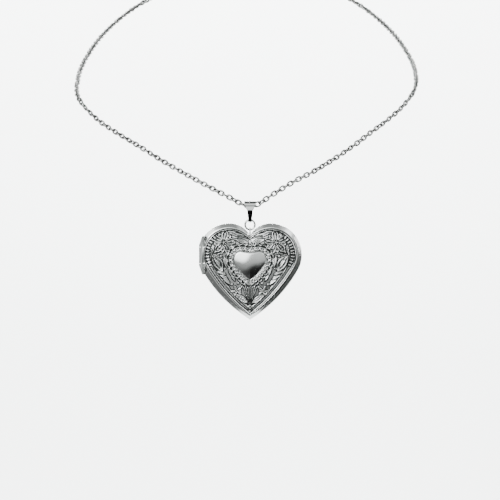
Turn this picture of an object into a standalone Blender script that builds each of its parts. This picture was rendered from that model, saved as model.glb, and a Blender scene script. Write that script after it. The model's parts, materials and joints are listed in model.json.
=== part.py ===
"""Heart locket on a cable-chain necklace, modelled piece by piece.

Sizes below are millimetres; MM turns them into Blender's metres.  The world's
origin is at the nape, where a neck or a hook holds the chain up.  +Z is up, +X
is the viewer's right and the locket's front faces -Y.
"""
import math
from collections import namedtuple

import bmesh
import bpy
from mathutils import Matrix, Vector

MM = 0.001

# --- driving dimensions -------------------------------------------------------
Heart = namedtuple("Heart", "lobe_x top half_width cleft tip side_radius")

OUTLINE = Heart(5.75, 7.80, 14.62, 4.45, -19.35, 39.0)      # outside of both covers
PANEL = Heart(5.90, 6.25, 13.00, 3.72, -17.90, 46.0)       # edge of the embossed panel
CENTRE = Heart(2.30, -0.10, 4.58, -0.85, -8.30, 15.0)      # plain domed heart
CROWN = Heart(1.60, -1.70, 2.70, -2.10, -6.30, 9.0)        # top of that dome
ARC_STEPS = (7, 9, 9)            # cleft to lobe top, lobe top to side, side to tip

PARTING_GAP = 0.03               # each cover stops this far from the parting plane
WALL = 0.5
SIDE_HEIGHT = 1.3
PANEL_HEIGHT = 2.4
CENTRE_HEIGHT = 3.1
CROWN_HEIGHT = 3.65
BACK_HEIGHT = 2.75
BACK_FLAT_INSET = 6.0
RIM_INSET, RIM_RISE = 0.5, 0.45  # first step of the rolled rim, in and up

HINGE_X = -13.6                  # pin's axis, parallel to Z, on the parting plane
KNUCKLE_R = 0.8
BORE_R = 0.40
PIN_R = 0.35
HINGE_FLAT_X = -12.75            # flank of both covers, flattened for the barrel
KNUCKLES = {"upper": (1.15, 4.2), "front": (-3.45, 1.05), "lower": (-6.6, -3.55)}
BLIND_DEPTH = 1.35               # how far the pin's bore enters each end knuckle
PIN_END_PLAY = 0.06
LEAF_START = 0.25                # leaf's inner edge, from the pin's axis
LEAF_DEPTHS = (0.05, 1.15)
MITRE_LENGTH = 2.9               # how far along an end knuckle its slope runs

TONGUE_X = (13.43, 13.76)        # inner and outer side of the catch tongue
TONGUE_BEAD_X = 13.88
TONGUE_Z, TONGUE_HALF_LENGTH = -0.95, 1.5

FRAME_INSET = WALL + 0.06
FRAME_WIDTH = 1.1
FRAME_RIGHT_LIMIT = 13.2         # the frames stop short of the catch tongue
FRAME_DEPTHS = (0.15, 0.65)
WINDOW_DEPTHS = (0.70, 0.95)
CARD_DEPTHS = (1.00, 1.20)

EYELET_Z = 5.95
EYELET_MID_R, EYELET_WIRE_R = 0.60, 0.20
RING_Z = 7.39
RING_MID_R, RING_WIRE_R = 1.375, 0.275
RING_TOP_Z = RING_Z + RING_MID_R

CHAIN_R = 0.65
CHAIN_AT_BAIL_Z = 12.75          # chain's centre inside the bail, locket frame
BAIL_STRIP = 0.35
BAIL_TOP_HALF, BAIL_CREASE_HALF, BAIL_LOW_HALF = 1.65, 0.82, 0.47
BAIL_CREASE = (-1.62, 11.5)      # (y, z) of the front crease

LOCKET = Vector((0.0, -132.0, -82.0 - CHAIN_AT_BAIL_Z))    # locket frame in the world
NECKLACE = Vector((0.0, 0.0, 0.0))

# Chain's route, measured from its point inside the bail.  It rises to the collar
# on each side, turns back over it and closes behind the neck.
ROUTE_LEFT = [
    (-2.1, 0.15, 0.42), (-5.65, 0.9, 2.3), (-10.8, 2.5, 5.0), (-17.2, 5.3, 8.5),
    (-25.35, 9.7, 13.2), (-31.6, 13.7, 17.2), (-38.8, 18.8, 21.6), (-44.6, 23.3, 25.7),
    (-50.3, 30.0, 32.0), (-51.4, 44.0, 39.5), (-49.6, 61.0, 47.5), (-45.0, 80.0, 56.5),
    (-36.5, 99.5, 66.0), (-25.0, 116.0, 74.0), (-15.8, 127.0, 79.6), (-9.3, 131.3, 81.7),
]
ROUTE_RIGHT = [
    (2.1, 0.15, 0.42), (6.36, 1.2, 3.17), (12.33, 3.45, 6.85), (18.8, 6.7, 10.3),
    (29.0, 13.3, 16.95), (34.9, 17.7, 21.5), (40.3, 22.1, 25.6), (44.6, 25.8, 29.5),
    (48.4, 32.0, 34.6), (49.6, 45.0, 41.0), (48.0, 62.0, 48.5), (43.6, 81.0, 57.2),
    (35.2, 100.5, 66.6), (23.6, 117.0, 74.5), (14.0, 127.2, 79.5), (7.3, 131.3, 81.4),
]
CHAIN_SPACING = 5.6

CLASP_CENTRE_X = 0.6
CLAW_A, CLAW_B = 3.6, 2.0        # half axes of the claw's loop
HOOK_R = (0.75, 0.48)            # hook's radius at the hub and at its nose
ARM_R = (0.40, 0.28)             # lever arm's radius at the hub and at its tip
TAIL_EYE_X, TAIL_EYE_MID_R, TAIL_EYE_R = -4.6, 1.15, 0.35
HUB_ANGLE = 118.0                # where the rivet sits on the claw's loop
NOSE_ANGLE = 387.0               # where the open claw ends
LEVER_TIP_ANGLE = 37.0
HUB_R, HUB_HALF, SLOT_HALF = 0.80, 0.42, 0.50
CHEEK_R, CHEEK_HALF = 1.05, 1.15
END_RING_MID_R, END_RING_WIRE_R = 1.9, 0.3
END_RINGS = {"left": (-6.5, 0.0, 0.0), "right": (4.5, 0.0, -0.45)}


# --- scene, finishes and placing ---------------------------------------------
def clear_scene():
    for obj in list(bpy.data.objects):
        bpy.data.objects.remove(obj, do_unlink=True)


def finish(name, colour, metallic, roughness, alpha=1.0):
    """Principled material of one kind of surface."""
    material = bpy.data.materials.new(name)
    material.use_nodes = True
    shader = material.node_tree.nodes["Principled BSDF"]
    shader.inputs["Base Color"].default_value = (*colour, 1.0)
    shader.inputs["Metallic"].default_value = metallic
    shader.inputs["Roughness"].default_value = roughness
    shader.inputs["Alpha"].default_value = alpha
    return material


def pivot(name, at, frame):
    """Empty on a joint's axis; `at` is in millimetres of the given frame."""
    empty = bpy.data.objects.new(name, None)
    empty.empty_display_size = 2 * MM
    empty.location = (Vector(at) + frame) * MM
    bpy.context.scene.collection.objects.link(empty)
    return empty


def place(name, bm, material, parent=None, frame=LOCKET):
    """Turn a bmesh drawn in a frame's millimetres into a named object."""
    home = parent.location if parent else Vector()
    bmesh.ops.transform(bm, matrix=Matrix.Diagonal((MM, MM, MM, 1)), verts=bm.verts)
    bmesh.ops.translate(bm, vec=frame * MM - home, verts=bm.verts)
    bmesh.ops.recalc_face_normals(bm, faces=bm.faces)
    mesh = bpy.data.meshes.new(name)
    bm.to_mesh(mesh)
    bm.free()
    mesh.shade_smooth()
    mesh.set_sharp_from_angle(angle=math.radians(35))
    if material:
        mesh.materials.append(material)
    obj = bpy.data.objects.new(name, mesh)
    obj.parent = parent
    bpy.context.scene.collection.objects.link(obj)
    return obj


def boolean(target, tool, operation):
    """Join or cut with a hidden tool object."""
    modifier = target.modifiers.new(tool.name, "BOOLEAN")
    modifier.object = tool
    modifier.operation = operation
    modifier.solver = "EXACT"
    tool.hide_render = True
    tool.display_type = "WIRE"


# --- outlines and lofts -------------------------------------------------------
def arc(centre, radius, start, end, steps):
    """Points (x, z) along an arc, without its last one; angles in radians."""
    angles = [start + (end - start) * i / steps for i in range(steps)]
    return [(centre[0] + radius * math.cos(a), centre[1] + radius * math.sin(a)) for a in angles]


def half_heart(h):
    """Right half of a heart from its cleft round to its tip, as three arcs."""
    rise = h.top - h.cleft
    inner_r = (h.lobe_x ** 2 + rise ** 2) / (2 * rise)
    lobe_r = h.half_width - h.lobe_x
    inner_c = (h.lobe_x, h.top - inner_r)
    lobe_c = (h.lobe_x, h.top - lobe_r)
    cleft_angle = math.atan2(h.cleft - inner_c[1], -h.lobe_x)
    reach = Vector((lobe_c[0], lobe_c[1] - h.tip))
    spare = h.side_radius - lobe_r
    along = (reach.length_squared + spare ** 2 - h.side_radius ** 2) / (2 * spare)
    join_angle = math.atan2(reach.y, reach.x) - math.acos(along / reach.length)
    side_c = (
        lobe_c[0] - spare * math.cos(join_angle),
        lobe_c[1] - spare * math.sin(join_angle),
    )
    tip_angle = math.atan2(h.tip - side_c[1], -side_c[0])
    points = arc(inner_c, inner_r, cleft_angle, math.pi / 2, ARC_STEPS[0])
    points += arc(lobe_c, lobe_r, math.pi / 2, join_angle, ARC_STEPS[1])
    points += arc(side_c, h.side_radius, join_angle, tip_angle, ARC_STEPS[2])
    return points + [(0.0, h.tip)]


def inset(h, distance):
    """The same heart, a distance further in."""
    return Heart(
        h.lobe_x,
        h.top - distance,
        h.half_width - distance,
        h.cleft - 1.15 * distance,
        h.tip + 1.35 * distance,
        h.side_radius - distance,
    )


def heart_loop(h, y, left=-99.0, right=99.0):
    """Whole heart as a closed loop of 3-D points at depth y, flattened at its flanks."""
    half = half_heart(h)
    loop = half + [(-x, z) for x, z in reversed(half[1:-1])]
    return [Vector((min(max(x, left), right), y, z)) for x, z in loop]


def loft(loops, closed=False):
    """Skin a row of loops of equal length; ends are capped unless the row is closed."""
    bm = bmesh.new()
    rows = [[bm.verts.new(p) for p in loop] for loop in loops]
    pairs = list(zip(rows, rows[1:] + rows[:1])) if closed else list(zip(rows, rows[1:]))
    count = len(rows[0])
    for row, following in pairs:
        for i in range(count):
            j = (i + 1) % count
            bm.faces.new((row[i], row[j], following[j], following[i]))
    if not closed:
        bm.faces.new(rows[0])
        bm.faces.new(rows[-1])
    return bm


def circle_section(centre, across, up, radius, sides=10):
    """Circle about a centre in the plane of two unit directions."""
    turns = [2 * math.pi * i / sides for i in range(sides)]
    return [centre + (across * math.cos(t) + up * math.sin(t)) * radius for t in turns]


def wire_ring(centre, normal, mid_radius, wire_radius, steps=28, sides=10):
    """Closed ring of round wire about a centre, lying across its normal."""
    normal = Vector(normal)
    first = normal.orthogonal().normalized()
    second = normal.cross(first)
    loops = []
    for i in range(steps):
        turn = 2 * math.pi * i / steps
        out = first * math.cos(turn) + second * math.sin(turn)
        loops.append(circle_section(Vector(centre) + out * mid_radius, out, normal, wire_radius, sides))
    return loft(loops, closed=True)


def rod(start, end, radius, sides=20):
    """Round rod between two points along one of the main axes."""
    start, end = Vector(start), Vector(end)
    along = (end - start).normalized()
    across = Vector((along.z, along.x, along.y))
    up = along.cross(across)
    return loft([circle_section(at, across, up, radius, sides) for at in (start, end)])


def block(low, high):
    """Box between two corners."""
    loops = []
    for y in (low[1], high[1]):
        loops.append([
            Vector((low[0], y, low[2])),
            Vector((high[0], y, low[2])),
            Vector((high[0], y, high[2])),
            Vector((low[0], y, high[2])),
        ])
    return loft(loops)


# --- locket shells ------------------------------------------------------------
def front_cover(material, parent):
    """Front half: side wall, rolled rim, embossed panel and domed centre heart."""
    outer = [
        (CROWN, CROWN_HEIGHT, 0.0),
        (CENTRE, CENTRE_HEIGHT, 0.0),
        (PANEL, PANEL_HEIGHT, 0.0),
        (inset(OUTLINE, RIM_INSET), SIDE_HEIGHT + RIM_RISE, 0.0),
        (OUTLINE, SIDE_HEIGHT, 0.0),
        (OUTLINE, PARTING_GAP, 0.0),
    ]
    inner = [
        (inset(OUTLINE, WALL), PARTING_GAP, WALL),
        (inset(OUTLINE, WALL), SIDE_HEIGHT - 0.05, WALL),
        (inset(PANEL, WALL), PANEL_HEIGHT - 0.55, WALL),
        (CENTRE, CENTRE_HEIGHT - WALL, WALL),
        (CROWN, CROWN_HEIGHT - WALL, WALL),
    ]
    loops = [heart_loop(h, -depth, HINGE_FLAT_X + shift) for h, depth, shift in outer + inner]
    return place("front_cover", loft(loops), material, parent)


def back_cover(material, parent):
    """Back half: side wall, rolled rim and a plain back that is flat in the middle."""
    flat = inset(OUTLINE, BACK_FLAT_INSET)
    outer = [
        (flat, BACK_HEIGHT, 0.0),
        (inset(OUTLINE, 1.6), BACK_HEIGHT - 0.4, 0.0),
        (inset(OUTLINE, RIM_INSET), SIDE_HEIGHT + RIM_RISE, 0.0),
        (OUTLINE, SIDE_HEIGHT, 0.0),
        (OUTLINE, PARTING_GAP, 0.0),
    ]
    inner = [
        (inset(OUTLINE, WALL), PARTING_GAP, WALL),
        (inset(OUTLINE, WALL), SIDE_HEIGHT - 0.05, WALL),
        (inset(OUTLINE, 2.1), BACK_HEIGHT - 0.9, WALL),
        (flat, BACK_HEIGHT - WALL, WALL),
    ]
    loops = [heart_loop(h, depth, HINGE_FLAT_X + shift) for h, depth, shift in outer + inner]
    return place("back_cover", loft(loops), material, parent)


def inside_loop(extra, depth, side):
    """Heart that follows the inside of the wall, clear of hinge flank and catch."""
    distance = FRAME_INSET + extra
    left = HINGE_FLAT_X + distance
    right = FRAME_RIGHT_LIMIT - extra
    return heart_loop(inset(OUTLINE, distance), side * depth, left, right)


def photo_frame(name, side, material, parent):
    """Heart-shaped bezel that holds the window and card in one half."""
    near, far = FRAME_DEPTHS
    stations = [(0.0, near), (0.0, far), (FRAME_WIDTH, far), (FRAME_WIDTH, near)]
    loops = [inside_loop(extra, depth, side) for extra, depth in stations]
    return place(name, loft(loops, closed=True), material, parent)


def heart_plate(name, depths, side, material, parent):
    """Thin heart-shaped sheet, such as a window or a card."""
    loops = [inside_loop(0.0, depth, side) for depth in depths]
    return place(name, loft(loops), material, parent)


def catch_tongue(material, parent):
    """Springy tab on the back half with a rounded snap bead on its outer side."""
    inner, outer = TONGUE_X
    loops = []
    for share in (-1.0, -0.5, 0.5, 1.0):
        bead = TONGUE_BEAD_X if abs(share) < 1 else outer
        outside = [(outer, 1.2), (outer, -0.2), (bead, -0.45), (outer - 0.06, -0.75)]
        profile = [(inner, 1.2)] + outside + [(inner, -0.75)]
        loops.append([Vector((x, y, TONGUE_Z + share * TONGUE_HALF_LENGTH)) for x, y in profile])
    return place("catch_tongue", loft(loops), material, parent)


# --- hinge --------------------------------------------------------------------
def knuckle(name, span, side, material, parent, bore_span, mitre=0):
    """Piece of barrel with the leaf that joins it to its cover.

    side is -1 for the front cover and +1 for the back one.  mitre is +1 or -1
    where the knuckle's free end slopes in towards the cover, or 0.
    """
    low, high = span
    body = place(name, rod((HINGE_X, 0, low), (HINGE_X, 0, high), KNUCKLE_R, 24), material, parent)
    leaf_depths = sorted(side * depth for depth in LEAF_DEPTHS)
    leaf_low = (HINGE_X + LEAF_START, leaf_depths[0], low)
    leaf_high = (HINGE_X + KNUCKLE_R, leaf_depths[1], high)
    leaf = place(name + "_leaf", block(leaf_low, leaf_high), None, parent)
    boolean(body, leaf, "UNION")
    bore_ends = ((HINGE_X, 0, bore_span[0]), (HINGE_X, 0, bore_span[1]))
    bore = place(name + "_bore", rod(*bore_ends, BORE_R, 20), None, parent)
    boolean(body, bore, "DIFFERENCE")
    if mitre:
        end = high if mitre > 0 else low
        inside, outside = end - mitre * MITRE_LENGTH, end + mitre
        slope_end = end + mitre * 0.1
        profile = [(-0.9, inside), (0.15, slope_end), (0.15, outside), (-2.0, outside), (-2.0, inside)]
        loops = [[Vector((HINGE_X + x, y, z)) for x, z in profile] for y in (-2.0, 2.0)]
        wedge = place(name + "_mitre", loft(loops), None, parent)
        boolean(body, wedge, "DIFFERENCE")
    return body


def hinge(material, cover, locket):
    """Three knuckles and the captive pin that runs through them."""
    upper, front, lower = (KNUCKLES[key] for key in ("upper", "front", "lower"))
    through = (front[0] - 1, front[1] + 1)
    knuckle("front_hinge_knuckle", front, -1, material, cover, through)
    up_bore = (upper[0] - 1, upper[0] + BLIND_DEPTH)
    low_bore = (lower[1] - BLIND_DEPTH, lower[1] + 1)
    knuckle("back_hinge_knuckle_upper", upper, 1, material, locket, up_bore, mitre=1)
    knuckle("back_hinge_knuckle_lower", lower, 1, material, locket, low_bore, mitre=-1)
    ends = (lower[1] - BLIND_DEPTH + PIN_END_PLAY, upper[0] + BLIND_DEPTH - PIN_END_PLAY)
    pin = rod((HINGE_X, 0, ends[0]), (HINGE_X, 0, ends[1]), PIN_R, 20)
    place("hinge_pin", pin, material, locket)


# --- hanging parts ------------------------------------------------------------
def hanging_eyelet(material, parent):
    """Loop that the jump ring passes through, on a foot soldered into the cleft."""
    loop = wire_ring((0, 0, EYELET_Z), (1, 0, 0), EYELET_MID_R, EYELET_WIRE_R, 24)
    eyelet = place("hanging_eyelet", loop, material, parent)
    foot_bottom, foot_top = OUTLINE.cleft + 0.07, EYELET_Z - EYELET_MID_R
    half = 0.24
    spread = foot_bottom + half * 1.9
    profile = [(0.0, foot_bottom), (half, spread), (half, foot_top), (-half, foot_top), (-half, spread)]
    loops = [[Vector((x, y, z)) for x, z in profile] for y in (0.08, 0.95)]
    foot = place("eyelet_foot", loft(loops), None, parent)
    boolean(eyelet, foot, "UNION")
    return eyelet


def bail_profile():
    """Middle line of the folded strip, (y, z, half width), front side, top to bottom."""
    top_r = 1.0 + BAIL_STRIP / 2
    low_r = RING_WIRE_R + 0.07 + BAIL_STRIP / 2
    line = []
    for degrees in (90, 112, 135, 158, 182):
        a = math.radians(degrees)
        z = CHAIN_AT_BAIL_Z + top_r * math.sin(a)
        line.append((top_r * math.cos(a), z, BAIL_TOP_HALF if degrees < 170 else BAIL_TOP_HALF - 0.2))
    line.append((*BAIL_CREASE, BAIL_CREASE_HALF))
    for degrees in (188, 215, 242, 270):
        a = math.radians(degrees)
        line.append((low_r * math.cos(a), RING_TOP_Z + low_r * math.sin(a), BAIL_LOW_HALF))
    return line


def bail(material, parent):
    """Strip folded round chain and jump ring, widest over the chain."""
    front = bail_profile()
    line = front + [(-y, z, half) for y, z, half in reversed(front[1:-1])]
    count = len(line)
    loops = []
    for i, (y, z, half) in enumerate(line):
        before, after = line[i - 1], line[(i + 1) % count]
        along = Vector((0, after[0] - before[0], after[1] - before[1])).normalized()
        out = Vector((0, -along.z, along.y)) * (BAIL_STRIP / 2)
        middle = Vector((0, y, z))
        side = Vector((half, 0, 0))
        loops.append([middle + side + out, middle - side + out, middle - side - out, middle + side - out])
    return place("bail", loft(loops, closed=True), material, parent)


def smooth_route(points, spacing):
    """Points at about a given spacing on a smooth curve through the route."""
    ends = [points[0] * 2 - points[1]] + points + [points[-1] * 2 - points[-2]]
    result = []
    for i in range(1, len(ends) - 2):
        before, start, end, after = ends[i - 1:i + 3]
        steps = max(1, round((end - start).length / spacing))
        weights = [(q - p).length ** 0.5 for p, q in ((before, start), (start, end), (end, after))]
        leave = (start - before) / weights[0] - (end - before) / (weights[0] + weights[1])
        leave = (leave + (end - start) / weights[1]) * weights[1]
        arrive = (end - start) / weights[1] - (after - start) / (weights[1] + weights[2])
        arrive = (arrive + (after - end) / weights[2]) * weights[1]
        for k in range(steps):
            t = k / steps
            result.append(
                start * (2 * t ** 3 - 3 * t ** 2 + 1)
                + leave * (t ** 3 - 2 * t ** 2 + t)
                + end * (3 * t ** 2 - 2 * t ** 3)
                + arrive * (t ** 3 - t ** 2)
            )
    return result + [points[-1]]


def neck_chain(material):
    """Plain tube that stands for the chain, end ring to end ring through the bail."""
    bail_point = LOCKET + Vector((0, 0, CHAIN_AT_BAIL_Z))
    route = list(reversed(ROUTE_LEFT)) + [(0.0, 0.0, 0.0)] + ROUTE_RIGHT
    points = smooth_route([bail_point + Vector(p) for p in route], CHAIN_SPACING)
    curve = bpy.data.curves.new("neck_chain", "CURVE")
    curve.dimensions = "3D"
    curve.bevel_depth = CHAIN_R * MM
    curve.bevel_resolution = 2
    curve.use_fill_caps = True
    spline = curve.splines.new("POLY")
    spline.points.add(len(points) - 1)
    for point, at in zip(spline.points, points):
        point.co = (*(at * MM), 1.0)
    curve.materials.append(material)
    obj = bpy.data.objects.new("neck_chain", curve)
    bpy.context.scene.collection.objects.link(obj)
    return obj


# --- clasp --------------------------------------------------------------------
def claw_point(degrees):
    """Point on the claw's elliptical loop, in the XZ plane."""
    a = math.radians(degrees)
    return Vector((CLASP_CENTRE_X + CLAW_A * math.cos(a), 0, CLAW_B * math.sin(a)))


def claw_tube(start, end, steps, radii):
    """Round-section piece along the claw's loop, tapered between two radii."""
    loops = []
    for i in range(steps + 1):
        share = i / steps
        degrees = start + (end - start) * share
        along = (claw_point(degrees + 1) - claw_point(degrees - 1)).normalized()
        out = Vector((along.z, 0, -along.x))
        radius = radii[0] + (radii[1] - radii[0]) * share
        loops.append(circle_section(claw_point(degrees), out, Vector((0, 1, 0)), radius, 12))
    return loft(loops)


def clasp_body(material):
    """Hook of the lobster claw, with its tail eye and two cheeks for the lever."""
    hub = claw_point(HUB_ANGLE)
    hook = claw_tube(HUB_ANGLE + 2, NOSE_ANGLE, 24, HOOK_R)
    body = place("clasp_body", hook, material, frame=NECKLACE)
    pieces = {
        "cheeks": (rod(hub - Vector((0, CHEEK_HALF, 0)), hub + Vector((0, CHEEK_HALF, 0)), CHEEK_R), "UNION"),
        "tail_eye": (wire_ring((TAIL_EYE_X, 0, 0), (0, 1, 0), TAIL_EYE_MID_R, TAIL_EYE_R, 24), "UNION"),
        "slot": (block(hub - Vector((1.4, SLOT_HALF, 1.0)), hub + Vector((3, SLOT_HALF, 3))), "DIFFERENCE"),
        "rivet_bore": (rod(hub - Vector((0, 2, 0)), hub + Vector((0, 2, 0)), BORE_R), "DIFFERENCE"),
    }
    for name, (shape, operation) in pieces.items():
        boolean(body, place(name, shape, None, frame=NECKLACE), operation)
    return body


def clasp_lever(material, parent):
    """Sprung arm that closes the claw, with a thumb tab behind its hub."""
    hub = claw_point(HUB_ANGLE)
    half = Vector((0, HUB_HALF, 0))
    lever = place("clasp_lever", rod(hub - half, hub + half, HUB_R), material, parent, NECKLACE)
    arm = claw_tube(HUB_ANGLE - 8, LEVER_TIP_ANGLE, 10, ARM_R)
    tab = block(hub + Vector((-0.75, -0.35, 0.35)), hub + Vector((-0.2, 0.35, 1.55)))
    boolean(lever, place("lever_arm", arm, None, parent, NECKLACE), "UNION")
    boolean(lever, place("lever_tab", tab, None, parent, NECKLACE), "UNION")
    bore = rod(hub - half * 2, hub + half * 2, BORE_R)
    boolean(lever, place("lever_bore", bore, None, parent, NECKLACE), "DIFFERENCE")
    return lever


def clasp_small_parts(material):
    """Rivet through hub and cheeks, and the leaf spring that pushes the lever shut."""
    hub = claw_point(HUB_ANGLE)
    head = CHEEK_HALF + 0.05
    rivet = rod(hub - Vector((0, head, 0)), hub + Vector((0, head, 0)), PIN_R)
    place("clasp_rivet", rivet, material, frame=NECKLACE)
    line = [(-1.05, -0.86), (-0.60, -0.93), (-0.05, -0.92), (0.45, -0.90)]
    loops = []
    for x, z in line:
        middle = hub + Vector((x, 0, z))
        loops.append([
            middle + Vector((0, -0.3, -0.04)),
            middle + Vector((0, 0.3, -0.04)),
            middle + Vector((0, 0.3, 0.04)),
            middle + Vector((0, -0.3, 0.04)),
        ])
    place("clasp_spring", loft(loops), material, frame=NECKLACE)


# --- assembly -----------------------------------------------------------------
def build():
    clear_scene()
    polished = finish("polished_silver_tone", (0.80, 0.81, 0.80), 1.0, 0.12)
    embossed = finish("embossed_silver_tone", (0.66, 0.68, 0.67), 1.0, 0.25)
    chain_steel = finish("chain_steel", (0.50, 0.51, 0.51), 1.0, 0.25)
    clear = finish("clear_window", (0.95, 0.96, 0.96), 0.0, 0.05, alpha=0.35)
    card = finish("photo_card", (0.87, 0.86, 0.82), 0.0, 0.8)

    bail_pivot = pivot("bail_pivot", (0, 0, CHAIN_AT_BAIL_Z), LOCKET)
    ring_pivot = pivot("ring_pivot", (0, 0, RING_TOP_Z), LOCKET)
    locket_pivot = pivot("locket_pivot", (0, 0, RING_Z), LOCKET)
    cover_pivot = pivot("cover_pivot", (HINGE_X, 0, 0), LOCKET)
    lever_pivot = pivot("lever_pivot", claw_point(HUB_ANGLE), NECKLACE)

    front_cover(embossed, cover_pivot)
    back_cover(polished, locket_pivot)
    hinge(polished, cover_pivot, locket_pivot)
    for half_name, side, parent in (("front", -1, cover_pivot), ("back", 1, locket_pivot)):
        photo_frame(half_name + "_photo_frame", side, polished, parent)
        heart_plate(half_name + "_window", WINDOW_DEPTHS, side, clear, parent)
        heart_plate(half_name + "_photo_card", CARD_DEPTHS, side, card, parent)
    catch_tongue(polished, locket_pivot)
    hanging_eyelet(polished, locket_pivot)

    jump_ring = wire_ring((0, 0, RING_Z), (0, 1, 0), RING_MID_R, RING_WIRE_R, 36)
    place("jump_ring", jump_ring, polished, ring_pivot)
    bail(polished, bail_pivot)
    neck_chain(chain_steel)

    for end, centre in END_RINGS.items():
        end_ring = wire_ring(centre, (0, 0, 1), END_RING_MID_R, END_RING_WIRE_R)
        place("chain_end_ring_" + end, end_ring, polished, frame=NECKLACE)
    clasp_body(polished)
    clasp_lever(polished, lever_pivot)
    clasp_small_parts(polished)


build()
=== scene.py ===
"""Looks of the heart locket and its chain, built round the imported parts.

Drawing units are millimetres in the locket's own frame (x to the viewer's right,
z up, depth from the parting plane towards the viewer); MM and LOCKET take them to
the world's metres.
"""

import json
import math
from collections import namedtuple

import bmesh
import bpy
import numpy as np
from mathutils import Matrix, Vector


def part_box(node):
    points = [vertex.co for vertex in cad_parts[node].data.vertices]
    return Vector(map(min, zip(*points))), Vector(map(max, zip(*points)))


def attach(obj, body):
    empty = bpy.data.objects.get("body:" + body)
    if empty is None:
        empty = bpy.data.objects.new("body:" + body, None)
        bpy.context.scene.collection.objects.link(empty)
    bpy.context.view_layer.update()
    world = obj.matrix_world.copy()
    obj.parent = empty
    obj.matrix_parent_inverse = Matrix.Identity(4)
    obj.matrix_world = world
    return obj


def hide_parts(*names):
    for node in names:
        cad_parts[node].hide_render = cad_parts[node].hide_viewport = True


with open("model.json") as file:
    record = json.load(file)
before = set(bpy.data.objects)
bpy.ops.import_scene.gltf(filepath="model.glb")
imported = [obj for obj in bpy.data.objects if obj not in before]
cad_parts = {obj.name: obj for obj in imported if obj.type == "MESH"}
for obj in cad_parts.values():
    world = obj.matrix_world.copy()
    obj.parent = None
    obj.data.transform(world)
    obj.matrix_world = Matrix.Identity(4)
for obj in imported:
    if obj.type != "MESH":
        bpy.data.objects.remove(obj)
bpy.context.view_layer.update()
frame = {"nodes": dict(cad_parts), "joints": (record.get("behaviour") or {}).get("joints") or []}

MM = 0.001
JOINT_AT = {joint["name"]: Vector(joint["pos_m"]) for joint in frame["joints"]}
HINGE_X = -13.6
LOCKET = JOINT_AT["cover_hinge"] - Vector((HINGE_X * MM, 0, 0))
RING_TOP_Z = (JOINT_AT["ring_swing"].z - LOCKET.z) / MM
CHAIN_AT_BAIL_Z = (JOINT_AT["bail_swing"].z - LOCKET.z) / MM

# --- outlines shared with the solid parts --------------------------------------
Heart = namedtuple("Heart", "lobe_x top half_width cleft tip side_radius")
OUTLINE = Heart(5.75, 7.80, 14.62, 4.45, -19.35, 39.0)
PANEL = Heart(5.90, 6.25, 13.00, 3.72, -17.90, 46.0)
CENTRE = Heart(2.30, -0.10, 4.58, -0.85, -8.30, 15.0)
CENTRE_POLE = (0.0, -3.2)
HINGE_FLAT_X = -12.75
WALL = 0.5
SIDE_HEIGHT = 1.3
PANEL_HEIGHT = 2.4
CENTRE_HEIGHT = 3.1
DOME_RISE = 0.90
BACK_HEIGHT = 2.75
PARTING_GAP = 0.03
TIP_FLAT = 0.28                  # how far the rim's point is blunted

# --- camera ---------------------------------------------------------------------
VIEW_DISTANCE = 0.70
FIELD_WIDTH = 0.141              # width of the view at the locket
EYE_RISE = 0.00028               # eye above the locket frame's origin
SENSOR = 36.0


def add_camera():
    """Square-on to the locket's front, a long way off, level with the top of its centre heart."""
    data = bpy.data.cameras.new("camera")
    data.sensor_width = SENSOR
    data.lens = SENSOR * VIEW_DISTANCE / FIELD_WIDTH
    data.clip_start = 0.01
    data.clip_end = 20
    camera = bpy.data.objects.new("camera", data)
    camera.location = LOCKET + Vector((0, -VIEW_DISTANCE, EYE_RISE))
    camera.rotation_euler = (math.pi / 2, 0, 0)
    bpy.context.scene.collection.objects.link(camera)
    bpy.context.scene.camera = camera


# --- shader writing -------------------------------------------------------------
class Value:
    """A float socket that can be written with in ordinary arithmetic."""

    def __init__(self, tree, socket):
        self.tree, self.socket = tree, socket

    def math(self, operation, *others):
        node = self.tree.nodes.new("ShaderNodeMath")
        node.operation = operation
        for slot, item in zip(node.inputs, (self, *others)):
            if isinstance(item, Value):
                self.tree.links.new(item.socket, slot)
            else:
                slot.default_value = item
        return Value(self.tree, node.outputs[0])

    def __add__(self, other):
        return self.math("ADD", other)

    def __sub__(self, other):
        return self.math("SUBTRACT", other)

    def __mul__(self, other):
        return self.math("MULTIPLY", other)

    def __rsub__(self, other):
        node = self.tree.nodes.new("ShaderNodeMath")
        node.operation = "SUBTRACT"
        node.inputs[0].default_value = other
        self.tree.links.new(self.socket, node.inputs[1])
        return Value(self.tree, node.outputs[0])

    __radd__ = __add__
    __rmul__ = __mul__

    def step(self, low, high):
        """0 below low, 1 above high, smooth between."""
        node = self.tree.nodes.new("ShaderNodeMapRange")
        node.interpolation_type = "SMOOTHSTEP"
        node.inputs["From Min"].default_value = low
        node.inputs["From Max"].default_value = high
        self.tree.links.new(self.socket, node.inputs["Value"])
        return Value(self.tree, node.outputs["Result"])


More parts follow.
